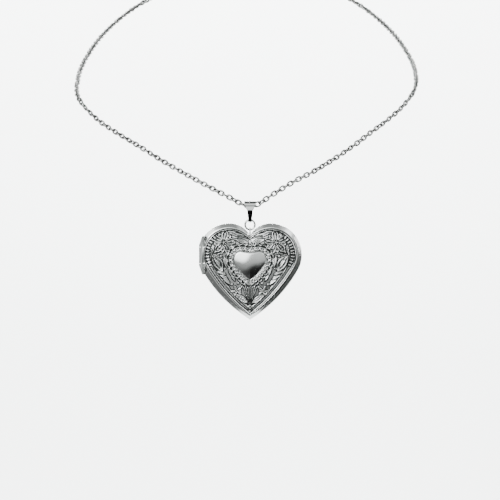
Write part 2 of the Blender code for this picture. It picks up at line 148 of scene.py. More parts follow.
class Finish:
    """A material under construction around one Principled BSDF."""

    def __init__(self, name, **constants):
        self.material = bpy.data.materials.new(name)
        self.material.use_nodes = True
        self.tree = self.material.node_tree
        self.shader = self.tree.nodes["Principled BSDF"]
        for socket, value in constants.items():
            self.shader.inputs[socket.replace("_", " ")].default_value = value
        self.place = self.node("ShaderNodeTexCoord").outputs["Object"]

    def node(self, kind, settings=None, **sockets):
        node = self.tree.nodes.new(kind)
        for name, value in (settings or {}).items():
            setattr(node, name, value)
        for name, value in sockets.items():
            slot = node.inputs[name.replace("_", " ")]
            if isinstance(value, Value):
                self.tree.links.new(value.socket, slot)
            elif isinstance(value, bpy.types.NodeSocket):
                self.tree.links.new(value, slot)
            else:
                slot.default_value = value
        return node

    def noise(self, scale, detail=3.0, stretch=(1, 1, 1), turn=(0, 0, 0)):
        """Cloudy pattern from 0 to 1 on object coordinates; scale is per metre."""
        mapping = self.node("ShaderNodeMapping", Vector=self.place, Scale=stretch, Rotation=turn)
        place = mapping.outputs[0]
        texture = self.node("ShaderNodeTexNoise", Vector=place, Scale=scale, Detail=detail)
        return Value(self.tree, texture.outputs[0])

    def attribute(self, name):
        node = self.node("ShaderNodeAttribute", {"attribute_name": name})
        return Value(self.tree, node.outputs["Fac"])

    def blend(self, share, first, second):
        """Colour between two others; each is a colour or a colour socket."""
        node = self.node("ShaderNodeMix", {"data_type": "RGBA"})
        slots = (node.inputs[0], node.inputs[6], node.inputs[7])
        for slot, item in zip(slots, (share, first, second)):
            if isinstance(item, Value):
                self.tree.links.new(item.socket, slot)
            elif isinstance(item, bpy.types.NodeSocket):
                self.tree.links.new(item, slot)
            else:
                slot.default_value = (*item, 1.0)
        return node.outputs[2]

    def set(self, socket, value):
        source = value.socket if isinstance(value, Value) else value
        self.tree.links.new(source, self.shader.inputs[socket])

    def bump(self, height, distance):
        node = self.node("ShaderNodeBump", Height=height, Distance=distance, Strength=1.0)
        self.tree.links.new(node.outputs[0], self.shader.inputs["Normal"])


def scratches(finish):
    """Fine handling scratches in two directions, 0 to 1."""
    first = finish.noise(900, 2.0, (1, 1, 14), (0, 0.5, 0)).step(0.60, 0.72)
    second = finish.noise(1100, 2.0, (13, 1, 1), (0, 0.35, 0.2)).step(0.62, 0.74)
    return first.math("MAXIMUM", second)


def polished_finish(name, colour, dull, roughness, edge):
    """Plated metal: faint clouding, uneven roughness, hairline scratches; edge is its tint at grazing."""
    finish = Finish(name, Metallic=1.0, Specular_Tint=(edge, edge, edge, 1))
    cloud = finish.noise(260, 4.0)
    marks = scratches(finish)
    shade = cloud.step(0.35, 0.75) * 0.6 + marks * 0.15
    finish.set("Base Color", finish.blend(shade, colour, dull))
    finish.set("Roughness", cloud * 0.06 + marks * 0.05 + roughness)
    finish.bump(marks * -0.4 + cloud * 0.3, 0.000004)
    return finish.material


def embossed_finish():
    """Bright plate over the stamped front, with painted shade going near black in its crevices, and clean
    high spots.
    """
    finish = Finish("embossed_silver", Metallic=1.0, Specular_Tint=(0.60, 0.60, 0.60, 1))
    # The recess attribute is the mask of painted shade in the crevices and in the groove at the rim's foot.
    depth = finish.attribute("recess_shade")
    cloud = finish.noise(420, 4.0)
    grain = finish.noise(3600, 2.0)
    marks = scratches(finish)
    # Painted shade: the colour darkens to near black where the stamping lies deep below the ground around
    # it.
    dark = (depth + (cloud - 0.5) * 0.20).step(0.03, 0.78)
    plate = finish.blend(cloud.step(0.35, 0.7) * 0.6, (0.97, 0.975, 0.97), (0.86, 0.88, 0.87))
    finish.set("Base Color", finish.blend(dark, plate, (0.045, 0.048, 0.048)))
    finish.set("Roughness", 0.10 + cloud * 0.05 + marks * 0.04 + dark * 0.25)
    finish.bump(marks * -0.2 + grain * (dark * 1.2 + 0.25), 0.000012)
    return finish.material


def window_finish():
    """Clear acetate with a few hairlines."""
    finish = Finish("clear_acetate", Base_Color=(0.97, 0.98, 0.98, 1), IOR=1.48, Alpha=0.22)
    finish.set("Roughness", scratches(finish) * 0.25 + 0.03)
    return finish.material


def card_finish():
    """Matt ivory card with paper fibres."""
    finish = Finish("ivory_card", Specular_IOR_Level=0.25)
    fibre = finish.noise(2400, 5.0, (1, 1, 0.3))
    cloud = finish.noise(160, 3.0)
    shade = fibre * 0.5 + cloud * 0.4
    finish.set("Base Color", finish.blend(shade, (0.86, 0.83, 0.75), (0.74, 0.70, 0.61)))
    finish.set("Roughness", fibre * 0.15 + 0.72)
    finish.bump(fibre, 0.00002)
    return finish.material


# --- mesh making ----------------------------------------------------------------
def to_world(points):
    """Millimetre points (x, depth towards the viewer, z) as world metres."""
    points = np.asarray(points, float)
    world = np.empty_like(points)
    world[..., 0] = points[..., 0]
    world[..., 1] = -points[..., 1]
    world[..., 2] = points[..., 2]
    return world * MM + np.array(LOCKET)


def mesh_piece(name, verts, faces, material, sharp=40.0):
    """Named, smooth-shaded mesh object with outward faces, already in world metres."""
    mesh = bpy.data.meshes.new(name)
    mesh.from_pydata(np.asarray(verts).tolist(), [], [list(map(int, f)) for f in faces])
    bm = bmesh.new()
    bm.from_mesh(mesh)
    bmesh.ops.recalc_face_normals(bm, faces=bm.faces)
    bm.to_mesh(mesh)
    bm.free()
    mesh.shade_smooth()
    mesh.set_sharp_from_angle(angle=math.radians(sharp))
    mesh.materials.append(material)
    piece = bpy.data.objects.new(name, mesh)
    bpy.context.scene.collection.objects.link(piece)
    return piece


def grid_faces(rows, columns, close_rows=False):
    """Quads of a grid whose columns run round a loop."""
    r = np.arange(rows if close_rows else rows - 1)[:, None]
    c = np.arange(columns)[None, :]
    following, across = (r + 1) % rows, (c + 1) % columns
    quads = np.stack(np.broadcast_arrays(
        r * columns + c, r * columns + across, following * columns + across, following * columns + c
    ), axis=-1)
    return quads.reshape(-1, 4).tolist()


def loft_piece(name, rows, material, closed=False, sharp=40.0):
    """Skin world-space loops of equal length; the open ends get a flat cap."""
    rows = np.asarray(rows)
    count, columns = rows.shape[:2]
    faces = grid_faces(count, columns, closed)
    if not closed:
        faces.append(list(range(columns)))
        faces.append(list(range((count - 1) * columns, count * columns)))
    return mesh_piece(name, rows.reshape(-1, 3), faces, material, sharp)


def finish_piece(piece, body, node):
    """Hand a piece to its body and hide the solid that it stands for."""
    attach(piece, body)
    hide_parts(node)
    return piece


# --- hearts ---------------------------------------------------------------------
def arc(centre, radius, start, end, steps):
    turns = start + (end - start) * np.arange(steps) / steps
    return np.stack([centre[0] + radius * np.cos(turns), centre[1] + radius * np.sin(turns)], axis=1)


def half_heart(h, steps):
    """Right half from the cleft round to the tip as three arcs, (x, z)."""
    rise = h.top - h.cleft
    inner_r = (h.lobe_x ** 2 + rise ** 2) / (2 * rise)
    lobe_r = h.half_width - h.lobe_x
    inner_c = (h.lobe_x, h.top - inner_r)
    lobe_c = (h.lobe_x, h.top - lobe_r)
    cleft_angle = math.atan2(h.cleft - inner_c[1], -h.lobe_x)
    reach = Vector((lobe_c[0], lobe_c[1] - h.tip))
    spare = h.side_radius - lobe_r
    along = (reach.length_squared + spare ** 2 - h.side_radius ** 2) / (2 * spare)
    join_angle = math.atan2(reach.y, reach.x) - math.acos(along / reach.length)
    side_c = (lobe_c[0] - spare * math.cos(join_angle), lobe_c[1] - spare * math.sin(join_angle))
    tip_angle = math.atan2(h.tip - side_c[1], -side_c[0])
    return np.concatenate([
        arc(inner_c, inner_r, cleft_angle, math.pi / 2, steps[0]),
        arc(lobe_c, lobe_r, math.pi / 2, join_angle, steps[1]),
        arc(side_c, h.side_radius, join_angle, tip_angle, steps[2]),
        [[0.0, h.tip]],
    ])


def heart_loop(h, steps):
    """Whole heart as (x, z) points; the same steps give matching loops."""
    half = half_heart(h, steps)
    return np.concatenate([half, half[-2:0:-1] * (-1, 1)])


def inset(h, distance):
    return Heart(
        h.lobe_x,
        h.top - distance,
        h.half_width - distance,
        h.cleft - 1.15 * distance,
        h.tip + 1.35 * distance,
        h.side_radius - distance,
    )


def at_depth(loop, depth, left=-99.0, right=99.0):
    """(x, z) loop as (x, depth, z) points, flattened at its flanks."""
    x = np.clip(loop[:, 0], left, right)
    return np.stack([x, np.broadcast_to(depth, x.shape), loop[:, 1]], axis=1)


# --- stamped relief ---------------------------------------------------------------
def smooth(value, low, high):
    t = np.clip((value - low) / (high - low), 0, 1)
    return t * t * (3 - 2 * t)


def ridge(distance, width):
    """Rounded ridge of height 1 along distance 0."""
    return np.exp(-(distance / width) ** 2)


def local(x, z, centre, degrees):
    """Coordinates along and across a motif's axis."""
    a = math.radians(degrees)
    dx, dz = x - centre[0], z - centre[1]
    return dx * math.cos(a) + dz * math.sin(a), -dx * math.sin(a) + dz * math.cos(a)


SMALL = 0.55                     # leaves and petals up to this half width are solid
EMPTY = 0.05                     # a motif covers the ground only where it is higher


def leaf(x, z, centre, degrees, length, width, veins=0.0, curl=0.0):
    """Outlined almond leaf with a midrib, side veins and a bend along its length."""
    along, across = local(x, z, centre, degrees)
    u = along / length
    across = across - curl * (1 - u ** 2)
    inside = width * (1 - u ** 2) - np.abs(across)
    inside = np.where(np.abs(u) > 1, -1.0, inside)
    body = smooth(inside, -0.05, 0.08) * 0.28
    rim = ridge(inside - 0.17, 0.16) * 0.72
    midrib = ridge(across, 0.13) * smooth(inside, 0.05, 0.25) * 0.62
    vein = 0.0
    if veins:
        vein = (0.5 + 0.5 * np.cos(2 * np.pi * (along + np.abs(across) * 0.9) / veins)) * 0.55
        vein = vein * smooth(inside, 0.15, 0.3)
    outlined = body + np.maximum(np.maximum(rim, midrib), vein)
    solid = smooth(inside, -0.04, 0.22) * 0.95 - ridge(across, 0.09) * smooth(inside, 0.1, 0.3) * 0.35
    return np.where(inside > -0.1, outlined if width > SMALL else solid, 0.0)


def petal(x, z, centre, degrees, reach, width):
    """Round-ended petal with a raised edge and soft flutes."""
    along, across = local(x, z, centre, degrees)
    u = np.clip(along / reach, -1, 2)
    half = width * np.sqrt(np.clip(1 - (2 * u - 1.12) ** 2 / 1.26, 0, 1)) * (0.55 + 0.45 * u)
    inside = np.where((u > 0) & (half > 0), half - np.abs(across), -1.0)
    body = smooth(inside, -0.02, 0.10) * 0.20
    rim = ridge(inside - 0.18, 0.17) * 0.80
    flute = ridge(across, 0.14) * smooth(inside, 0.1, 0.3) * smooth(-u, -0.74, -0.66) * 0.60
    solid = smooth(inside, -0.04, 0.26) * 0.95
    return np.where(inside > -0.05, body + np.maximum(rim, flute) if width > SMALL else solid, 0.0)


def flower(x, z, centre, first, petals, reach, width, boss):
    """Ring of petals over a ring of shorter sepals, round a beaded boss."""
    result = np.zeros_like(x)
    step = 360 / petals
    for k in range(petals if width > SMALL else 0):
        sepal = petal(x, z, centre, first + step * (k + 0.5), reach * 0.86, width * 0.55)
        result = np.maximum(result, sepal * 0.75)
    for k in range(petals):
        blade = petal(x, z, centre, first + step * k, reach, width)
        result = np.where(blade > EMPTY, blade, result)
    radius = np.hypot(x - centre[0], z - centre[1])
    turn = np.arctan2(z - centre[1], x - centre[0])
    beads = ridge(radius - boss * 0.70, 0.15) * (0.55 + 0.45 * np.cos(5 * turn))
    middle = np.maximum(ridge(radius, boss * 0.36), beads)
    return np.where(radius < boss * 1.15, middle, result)


def open_distance(x, z, line):
    """Distance to an open line, the length along it, and its whole length."""
    start, end = line[:-1], line[1:]
    best = np.full(x.shape, 1e9)
    where = np.zeros(x.shape)
    run = 0.0
    for (ax, az), (bx, bz) in zip(start, end):
        sx, sz = bx - ax, bz - az
        size = math.hypot(sx, sz)
        t = np.clip(((x - ax) * sx + (z - az) * sz) / size ** 2, 0, 1)
        away = np.hypot(x - ax - t * sx, z - az - t * sz)
        nearer = away < best
        best = np.where(nearer, away, best)
        where = np.where(nearer, run + t * size, where)
        run += size
    return best, where, run


# Right half of the stamping; the left half mirrors it.
LEAVES = (
    # centre, axis angle, half length, half width, vein spacing, curl
    ((2.35, 2.80), 15, 1.95, 0.62, 0.0, 0.0),
    ((9.20, -3.55), 56, 2.75, 1.25, 0.0, 0.25),
    ((9.20, -3.55), 56, 1.60, 0.50, 0.0, 0.20),
    ((6.95, -3.10), 78, 1.65, 0.55, 0.62, 0.0),
    ((9.55, 0.35), 118, 1.30, 0.45, 0.0, 0.15),
    ((7.95, -6.35), 18, 1.45, 0.45, 0.0, 0.20),
    ((7.30, -7.55), 30, 1.55, 0.48, 0.0, 0.20),
    ((6.45, -8.75), 38, 1.45, 0.46, 0.0, 0.18),
    ((5.55, -5.75), 72, 1.35, 0.48, 0.62, 0.0),
    ((4.65, -7.60), 58, 1.15, 0.42, 0.0, 0.0),
    ((2.25, -13.45), 36, 2.10, 0.74, 0.66, 0.0),
    ((4.35, -12.75), 47, 1.30, 0.42, 0.0, 0.10),
    ((5.85, -10.60), 62, 1.15, 0.40, 0.0, -0.10),
    ((2.85, -11.05), 100, 1.15, 0.42, 0.0, 0.0),
    ((4.55, 4.55), 24, 1.55, 0.34, 0.0, 0.10),
    ((0.0, 2.55), 90, 0.85, 0.36, 0.0, 0.0),
)
FLOWERS = (
    # centre, first petal, petals, reach, half width, boss radius
    ((7.35, 2.35), 98, 5, 2.95, 1.12, 0.70),
    ((3.75, -11.30), 70, 5, 1.45, 0.46, 0.30),
)
STEM_WIDTH = 0.13
STEMS = (
    ((0.35, 4.05), (1.40, 4.55), (2.70, 5.05), (4.10, 5.45)),
    ((0.25, 3.55), (1.20, 3.80), (2.40, 4.15), (3.60, 4.30)),
    ((10.9, -1.10), (10.6, -0.35), (10.9, 0.45)),
    ((5.30, -0.20), (6.10, -0.75), (7.10, -0.95), (8.20, -0.60), (9.10, -0.95)),
    ((8.90, -5.75), (7.90, -5.35), (6.90, -4.95)),
    ((7.75, -9.00), (6.80, -10.20), (5.60, -11.85), (4.10, -13.75), (2.60, -15.40)),
)
BEAD_WIDTH = 0.28
BEADS = (
    (0.0, 1.55), (2.35, -10.05), (5.35, 0.75), (5.05, -9.35),
    (6.00, -1.95), (8.15, -1.45), (0.95, 1.95), (3.30, -9.05),
)
GROUND = 0.12                    # height of the bare ground
RIB_PITCH = 0.98
RIB_FAN_AT = (6.7, 0.32)
ROPE_OVALS = 12                  # ovals down each side of the centre heart
ROPE_BAND = (0.35, 1.36)         # how far outside the centre heart the rope lies
ROPE_LINE = 0.88
ROPE_HALF_LENGTH, ROPE_HALF_WIDTH = 0.66, 0.44
SCALLOP_LINE, SCALLOP_RADIUS = 1.40, 0.62
FAN_TOP, FAN_FOOT, FAN_MEET = -10.05, -14.1, -15.4
FAN_HALF_WIDTH, FAN_HEIGHT, FAN_FLUTES = 2.2, 5.4, 3.5
CHEVRON_PITCH, CHEVRON_SLOPE = 0.80, 0.95
FLANK_TOP, FLANK_FOOT = -4.2, -16.6
FLANK_BAND, FLANK_LINE, FLANK_DOT_PITCH = 1.30, 1.42, 0.52
BORDER_WIDTH, BORDER_BEAD = 0.58, 0.24
COLLAR_WIDTH, COLLAR_BEAD = 0.36, 0.20


def waves(length, pitch, low, high):
    """Even raised stripes along a length, 0 to 1."""
    return smooth(np.cos(2 * np.pi * length / pitch), low, high)


def relief(x, z):
    """Height of the stamping, 0 in its recesses to about 1 on its high spots."""
    x = np.abs(x)
    centre_d, centre_s, centre_run = open_distance(x, z, half_heart(CENTRE, (10, 18, 16)))
    panel_d, panel_s, _ = open_distance(x, z, half_heart(PANEL, (12, 24, 20)))
    height = np.full(x.shape, GROUND)

    for points in STEMS:
        away, _, _ = open_distance(x, z, points)
        height = np.maximum(height, ridge(away, STEM_WIDTH) * 0.75)
    for bead_x, bead_z in BEADS:
        height = np.maximum(height, ridge(np.hypot(x - bead_x, z - bead_z), BEAD_WIDTH) * 0.9)
    for motif, shapes in ((leaf, LEAVES), (flower, FLOWERS)):
        for sizes in shapes:
            shape = motif(x, z, *sizes)
            height = np.where(shape > EMPTY, shape, height)

    # Short ribs inside the border, round the outer side of the lobe.
    turn = np.degrees(np.arctan2(z - RIB_FAN_AT[1], x - RIB_FAN_AT[0]))
    ribbed = smooth(panel_d, 0.55, 0.68) * smooth(-panel_d, -1.50, -1.38)
    ribbed = ribbed * smooth(-turn, -58, -55) * smooth(z, -4.4, -4.2) * smooth(x, 8.6, 8.8)
    ribs = waves(panel_s, RIB_PITCH, -0.35, 0.65)
    height = np.where(ribbed > 0.5, 0.08 + ribs * 0.80, height)

    # Rope of ovals, and scallops outside it, round the centre heart.
    pitch = centre_run / ROPE_OVALS
    place = ((centre_s / pitch + 0.5) % 1.0 - 0.5) * pitch
    oval = np.hypot(place / ROPE_HALF_LENGTH, (centre_d - ROPE_LINE) / ROPE_HALF_WIDTH)
    rope = np.maximum(ridge((oval - 0.86) * 0.5, 0.15), ridge(oval * 0.5, 0.14) * 0.8)
    roped = (centre_d > ROPE_BAND[0]) & (centre_d < ROPE_BAND[1])
    height = np.where(roped, 0.18 + rope * 0.80, height)
    scallop = np.hypot(place, (centre_d - SCALLOP_LINE) * 0.95) - SCALLOP_RADIUS
    outside = (centre_d >= ROPE_BAND[1]) & (scallop < 0.10)
    height = np.where(outside, ridge(scallop, 0.14) * 0.9, height)

    # Flutes that run together below the centre heart.
    spread = np.clip((z - FAN_MEET) / FAN_HEIGHT, 0.02, 2) * FAN_HALF_WIDTH
    fluted = (x < spread * 1.02) & (z > FAN_FOOT) & (z < FAN_TOP)
    flutes = waves(x / spread, 1 / FAN_FLUTES, -0.5, 0.8)
    height = np.where(fluted, 0.14 + flutes * 0.72, height)

    # Chevrons in the point.
    chevron = z + x * CHEVRON_SLOPE
    chevrons = waves(chevron, CHEVRON_PITCH, -0.3, 0.7)
    height = np.where((chevron < -14.9) & (z < -14.5), chevrons * 0.85, height)

    # Dotted band and fine line down each flank.
    flank = (z < FLANK_TOP) & (z > FLANK_FOOT)
    turns = 2 * np.pi / FLANK_DOT_PITCH
    dots = np.cos((x + z) * turns) * np.cos((x - z) * turns)
    height = np.where(flank & (panel_d < FLANK_BAND), 0.22 + 0.26 * dots, height)
    line = ridge(panel_d - FLANK_LINE, 0.12) * 0.9
    height = np.where(flank, np.maximum(height, line), height)

    # Border bead, with a cut line inside it, and the collar of the centre heart.
    height = np.where(panel_d < BORDER_WIDTH, ridge(panel_d - BORDER_BEAD, 0.17) * 1.1, height)
    height = np.where(centre_d < COLLAR_WIDTH, ridge(centre_d - COLLAR_BEAD, 0.13) * 0.95, height)
    return height


CREVICE_ROWS, CREVICE_COLUMNS = 4, 3     # how far round a point counts as close


# Mask for the painted shade in the stamping's crevices.
def crevices(height):
    """How deep each point lies below the highest ground close to it, 0 to 1."""
    highest = height.copy()
    for row in range(-CREVICE_ROWS, CREVICE_ROWS + 1):
        for column in range(-CREVICE_COLUMNS, CREVICE_COLUMNS + 1):
            if (row / CREVICE_ROWS) ** 2 + (column / CREVICE_COLUMNS) ** 2 <= 1.1:
                moved = np.roll(np.roll(height, row, axis=0), column, axis=1)
                highest = np.maximum(highest, moved)
    return np.clip((highest - height) * 1.35 + (0.20 - height), 0, 1)


# --- covers -----------------------------------------------------------------------
FINE = (70, 130, 160)            # steps of the embossed cover's outlines
MEDIUM = (24, 48, 40)
RELIEF_ROWS = 92
RELIEF_DEPTH = 0.38
RELIEF_TOP = 0.8                 # relief height that lies on the panel's own surface
DOME_ROWS = 12
DOME_ROUND = (3.6, 3.9)          # half axes of the oval that the dome's loops turn into
DOME_LAST = 0.012                # size of the innermost loop


def rim_rows(steps):
    """Loops of the front's side wall and rolled rim, parting plane to panel edge."""
    profile = [
        # share of the way from the outline to the panel's edge, depth
        (0.00, PARTING_GAP), (0.00, 0.22), (0.00, SIDE_HEIGHT - 0.06), (0.015, SIDE_HEIGHT + 0.03),
        (0.05, SIDE_HEIGHT + 0.10), (0.10, SIDE_HEIGHT + 0.16), (0.30, SIDE_HEIGHT + 0.40),
        (0.50, SIDE_HEIGHT + 0.64), (0.70, SIDE_HEIGHT + 0.88), (0.78, SIDE_HEIGHT + 0.96),
        (0.86, SIDE_HEIGHT + 0.99), (0.92, SIDE_HEIGHT + 0.97), (0.95, SIDE_HEIGHT + 0.84),
        (0.98, SIDE_HEIGHT + 0.84),
    ]
    outer, panel = heart_loop(OUTLINE, steps), heart_loop(PANEL, steps)
    blunt = OUTLINE.tip + TIP_FLAT
    outer = np.stack([np.maximum(outer[:, 0], HINGE_FLAT_X), np.maximum(outer[:, 1], blunt)], axis=1)
    return [at_depth(outer + (panel - outer) * share, depth) for share, depth in profile]


def panel_rows(steps):
    """Loops of the embossed panel with their relief, panel edge to centre heart."""
    outer, inner = heart_loop(PANEL, steps), heart_loop(CENTRE, steps)
    share = np.linspace(0, 1, RELIEF_ROWS)[:, None]
    x = outer[None, :, 0] * (1 - share) + inner[None, :, 0] * share
    z = outer[None, :, 1] * (1 - share) + inner[None, :, 1] * share
    base = PANEL_HEIGHT + (CENTRE_HEIGHT - PANEL_HEIGHT) * (1 - (1 - share) ** 1.7)
    height = relief(x, z)
    depth = base + (height - RELIEF_TOP) * RELIEF_DEPTH
    return np.stack([x, depth, z], axis=2), crevices(height)


def dome_rows(steps):
    """Loops of the plain domed heart, which turn round towards its pole."""
    outline = heart_loop(CENTRE, steps)
    pole = np.array(CENTRE_POLE)
    away = outline - pole
    turn = np.arctan2(away[:, 1], away[:, 0])
    oval = np.stack([np.cos(turn) * DOME_ROUND[0], np.sin(turn) * DOME_ROUND[1]], axis=1)
    rows = []
    for k in range(DOME_ROWS):
        share = 1 - (k + 1) / DOME_ROWS if k < DOME_ROWS - 1 else DOME_LAST
        share = math.sin(share * math.pi / 2)
        heart_share = share ** 5
        loop = pole + share * (oval * (1 - heart_share) + away * heart_share)
        rise = 0.22 * math.sqrt(1 - share ** 4) + 0.78 * (1 - share ** 2)
        rows.append(at_depth(loop, CENTRE_HEIGHT - 0.05 + DOME_RISE * rise))
    return rows


RIM_FOOT_SHADE = 0.9            # painted shade darkening the groove between rim and panel


def front_cover(material):
    """Stamped front half with its wall, rim, relief, dome and plain inside."""
    rim = rim_rows(FINE)
    panel, recess_shade = panel_rows(FINE)
    dome = dome_rows(FINE)
    inside = []
    for h, depth in (
        (inset(OUTLINE, WALL), PARTING_GAP),
        (inset(OUTLINE, WALL), SIDE_HEIGHT - 0.05),
        (inset(PANEL, WALL), PANEL_HEIGHT - 0.55),
        (inset(PANEL, 3.0), CENTRE_HEIGHT - 0.85),
    ):
        inside.append(at_depth(heart_loop(h, FINE), depth, HINGE_FLAT_X + WALL))
    rows = inside[::-1] + rim + list(panel) + dome
    piece = loft_piece("front_cover_embossed", to_world(rows), material, sharp=75)
    # Painted shade: the crevice mask of the relief, and a strong band in the groove at the rim's foot, go
    # into the attribute that darkens the colour.
    values = np.zeros((len(rows), len(rows[0])))
    first = len(inside) + len(rim)
    values[first:first + RELIEF_ROWS] = recess_shade
    values[first - 2:first] = RIM_FOOT_SHADE
    attribute = piece.data.attributes.new("recess_shade", "FLOAT", "POINT")
    attribute.data.foreach_set("value", values.reshape(-1).astype(np.float32))
    return finish_piece(piece, "cover", "front_cover")


def back_cover(material):
    """Plain polished back half, softly domed at its edge and flat in the middle."""
    profile = [
        # inset, depth, flank shift
        (WALL + 5.5, BACK_HEIGHT - WALL, WALL), (2.1, BACK_HEIGHT - 0.9, WALL),
        (WALL, SIDE_HEIGHT - 0.05, WALL), (WALL, PARTING_GAP, WALL),
        (0.0, PARTING_GAP, 0), (0.0, 0.22, 0), (0.0, SIDE_HEIGHT - 0.10, 0), (0.05, SIDE_HEIGHT + 0.06, 0),
        (0.18, SIDE_HEIGHT + 0.22, 0), (0.42, SIDE_HEIGHT + 0.42, 0), (0.80, SIDE_HEIGHT + 0.66, 0),
        (1.30, SIDE_HEIGHT + 0.90, 0), (2.0, SIDE_HEIGHT + 1.12, 0), (3.0, SIDE_HEIGHT + 1.30, 0),
        (4.2, SIDE_HEIGHT + 1.40, 0), (5.4, BACK_HEIGHT - 0.008, 0), (6.2, BACK_HEIGHT, 0),
    ]
    rows = []
    for distance, depth, shift in profile:
        loop = heart_loop(inset(OUTLINE, distance), MEDIUM)
        flat_x = HINGE_FLAT_X + shift + 0.35 * max(0, distance - WALL)
        rows.append(at_depth(loop, -depth, flat_x))
    piece = loft_piece("back_cover_shell", to_world(rows), material, sharp=50)
    return finish_piece(piece, "locket", "back_cover")


# --- inside the locket --------------------------------------------------------------
FRAME_INSET, FRAME_RIGHT_LIMIT = WALL + 0.06, 13.2
WINDOW_DEPTHS, CARD_DEPTHS = (0.70, 0.95), (1.00, 1.20)


def inside_loop(extra, depth, side):
    """Outline of a photo frame, or of a line further in by extra; side is 1 in front, -1 behind."""
    distance = FRAME_INSET + extra
    loop = heart_loop(inset(OUTLINE, distance), MEDIUM)
    return at_depth(loop, side * depth, HINGE_FLAT_X + distance, FRAME_RIGHT_LIMIT - extra)


def photo_set(half, body, side, metal, clear, card):
    """Rolled bezel, clear window and blank card of one half."""
    bead = [(0.0, 0.17), (0.0, 0.63), (0.08, 0.65), (1.02, 0.65), (1.1, 0.60), (1.06, 0.42),
            (0.92, 0.27), (0.68, 0.18), (0.45, 0.15), (0.06, 0.15)]
    rows = [inside_loop(extra, depth, side) for extra, depth in bead]
    bezel = loft_piece(half + "_photo_bezel", to_world(rows), metal, closed=True, sharp=50)
    finish_piece(bezel, body, half + "_photo_frame")
    for kind, depths, material, slot, node in (
        ("_acetate", WINDOW_DEPTHS, clear, "window", "_window"),
        ("_card", CARD_DEPTHS, card, "card", "_photo_card"),
    ):
        rows = [inside_loop(0.0, depth, side) for depth in depths]
        finish_piece(loft_piece(half + kind, to_world(rows), material), body, half + node)


MERGE_DISTANCE = 0.000001


def refined(node, material, body, width):
    """Copy of a small metal solid with its edges eased, in place of the faceted one."""
    mesh = frame["nodes"][node].data.copy()
    bm = bmesh.new()
    bm.from_mesh(mesh)
    bmesh.ops.remove_doubles(bm, verts=bm.verts, dist=MERGE_DISTANCE)
    bmesh.ops.dissolve_limit(bm, angle_limit=math.radians(1), verts=bm.verts, edges=bm.edges)
    bm.to_mesh(mesh)
    bm.free()
    mesh.materials.clear()
    mesh.materials.append(material)
    piece = bpy.data.objects.new(node + "_eased", mesh)
    bpy.context.scene.collection.objects.link(piece)
    bevel = piece.modifiers.new("eased_edges", "BEVEL")
    bevel.width = width * MM
    bevel.segments = 2
    bevel.angle_limit = math.radians(40)
    mesh.shade_smooth()
    mesh.set_sharp_from_angle(angle=math.radians(50))
    return finish_piece(piece, body, node)


# --- rings, bail and chain ------------------------------------------------------------
WIRE_SIDES = 16
RING_STEPS = 72


def wire_rows(line, radii):
    """Round sections along a world-space line of points, one radius for each."""
    turns = np.arange(WIRE_SIDES) * 2 * math.pi / WIRE_SIDES
    rows = []
    normal = None
    for i in range(len(line)):
        ahead = line[min(i + 1, len(line) - 1)] - line[max(i - 1, 0)]
        ahead = ahead / np.linalg.norm(ahead)
        if normal is None:
            normal = np.cross(ahead, (0.31, 0.83, 0.47))
        normal = normal - ahead * np.dot(normal, ahead)
        normal /= np.linalg.norm(normal)
        side = np.cross(ahead, normal)
        section = np.outer(np.cos(turns), normal) + np.outer(np.sin(turns), side)
        rows.append(line[i] + radii[i] * section)
    return np.array(rows)


def ring_line(centre, first, second, radius, gap_at, gap):
    """Points round a ring of world metres, leaving a cut of the given width."""
    opening = gap / radius
    turns = gap_at + opening / 2 + (2 * math.pi - opening) * np.arange(RING_STEPS + 1) / RING_STEPS
    centre, first, second = (np.array(v, float) for v in (centre, first, second))
    return centre + radius * (np.outer(np.cos(turns), first) + np.outer(np.sin(turns), second))


JUMP_RING_R, JUMP_RING_WIRE_R, JUMP_RING_CUT_AT = 1.375, 0.275, math.radians(40)
END_RING_R, END_RING_WIRE_R, END_RING_CUT_AT = 1.9, 0.3, math.radians(70)
RING_JOINT = 0.03
CUT_END_SHARE = 0.93             # filed-down radius of the wire at its cut ends


def cut_ring(name, centre, first, second, mid_radius, wire_radius, gap_at, material):
    """Ring of round wire, bent shut with a hairline joint."""
    line = ring_line(centre, first, second, mid_radius * MM, gap_at, RING_JOINT * MM)
    radii = np.full(len(line), wire_radius * MM)
    radii[0] = radii[-1] = wire_radius * CUT_END_SHARE * MM
    return loft_piece(name, wire_rows(line, radii), material, sharp=60)


BAIL_STRIP = 0.35                # thickness of the strip
BAIL_EASE = 0.09                 # rounding of its edges
BAIL_TOP_INNER_R, BAIL_TOP_HALF = 1.0, 1.65
BAIL_LOW_INNER_R, BAIL_LOW_HALF = 0.345, 0.47
BAIL_SHOULDER = (
    # depth, z, half width: from the wide loop through the crease into the taper
    (-1.46, 11.9, 1.06), (-1.60, 11.58, 0.86), (-1.62, 11.44, 0.80), (-1.58, 11.28, 0.785),
)


